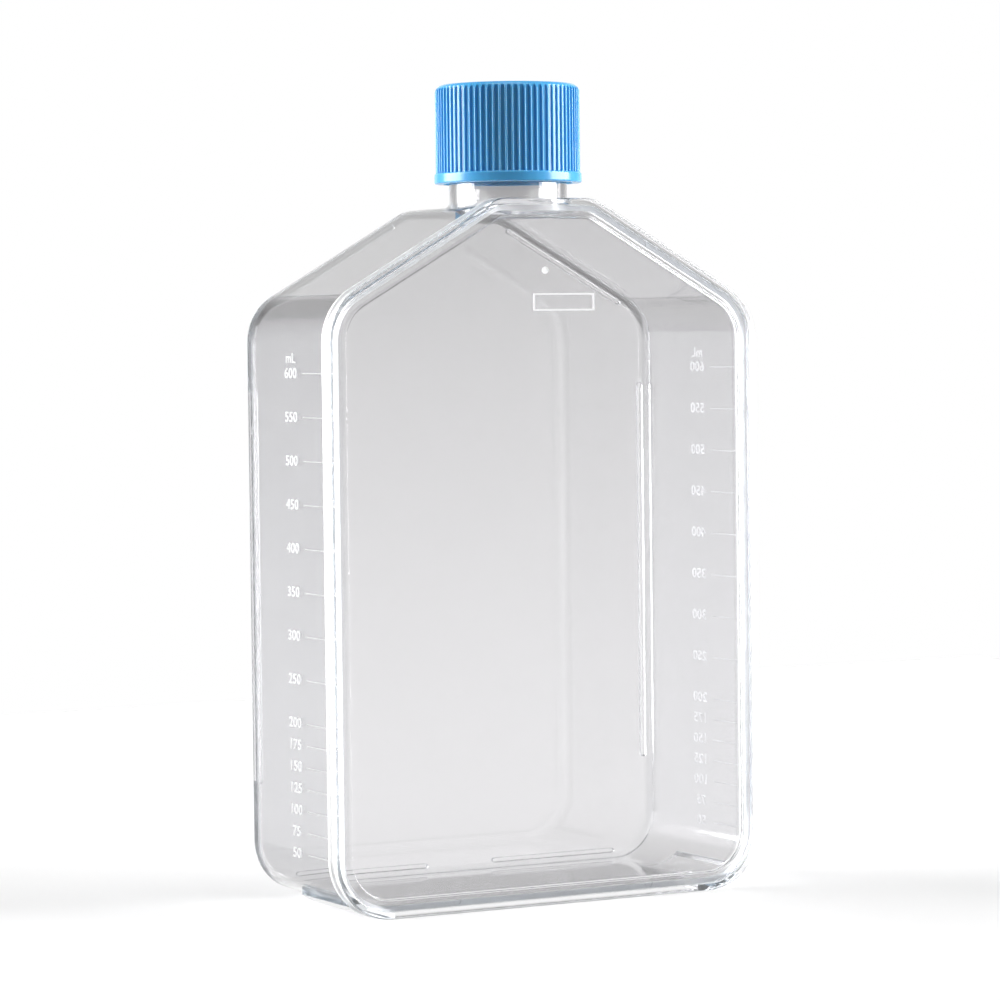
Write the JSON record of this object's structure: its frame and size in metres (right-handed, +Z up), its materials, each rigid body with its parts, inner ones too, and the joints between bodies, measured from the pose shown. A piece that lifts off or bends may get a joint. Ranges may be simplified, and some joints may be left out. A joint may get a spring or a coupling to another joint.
{
  "type": "cell culture flask",
  "caption": "Clear upright cell culture flask: sloping-shouldered body with a bonded front plate, short threaded neck, ribbed vented screw cap and gas membrane.",
  "frame": {"origin": "middle of the bounding box's underside, on the bench plane", "axes": "+Z up along the neck, -Y out of the front plate (the face that looks up when the flask lies down), +X to the right seen from the front"},
  "size_m": [0.117, 0.0502, 0.198],
  "materials": {
    "clear_polystyrene": "clear, see-through, glossy moulded polystyrene",
    "clear_polystyrene_plate": "clear, see-through, glossy moulded polystyrene",
    "blue_polyethylene": "semi-gloss moulded polyethylene",
    "white_membrane": "matt fibrous membrane"
  },
  "bodies": {
    "flask": {"flask_body": "clear_polystyrene", "front_plate": "clear_polystyrene_plate"},
    "membrane_carrier": {"vent_membrane": "white_membrane"},
    "screw_cap": {"cap": "blue_polyethylene"}
  },
  "joints": [
    {"name": "cap_lift", "type": "slide", "parent": "flask", "child": "membrane_carrier", "axis": [0, 0, 1], "range_m": [0, 0.0301]},
    {"name": "cap_turn", "type": "hinge", "parent": "membrane_carrier", "child": "screw_cap", "pos_m": [0, -0.00595, 0.186], "axis": [0, 0, 1], "range_deg": [0, 2160]}
  ],
  "couplings": [
    {"joint": "cap_lift", "follows": "cap_turn", "m_per_rad": 0.00079577}
  ]
}
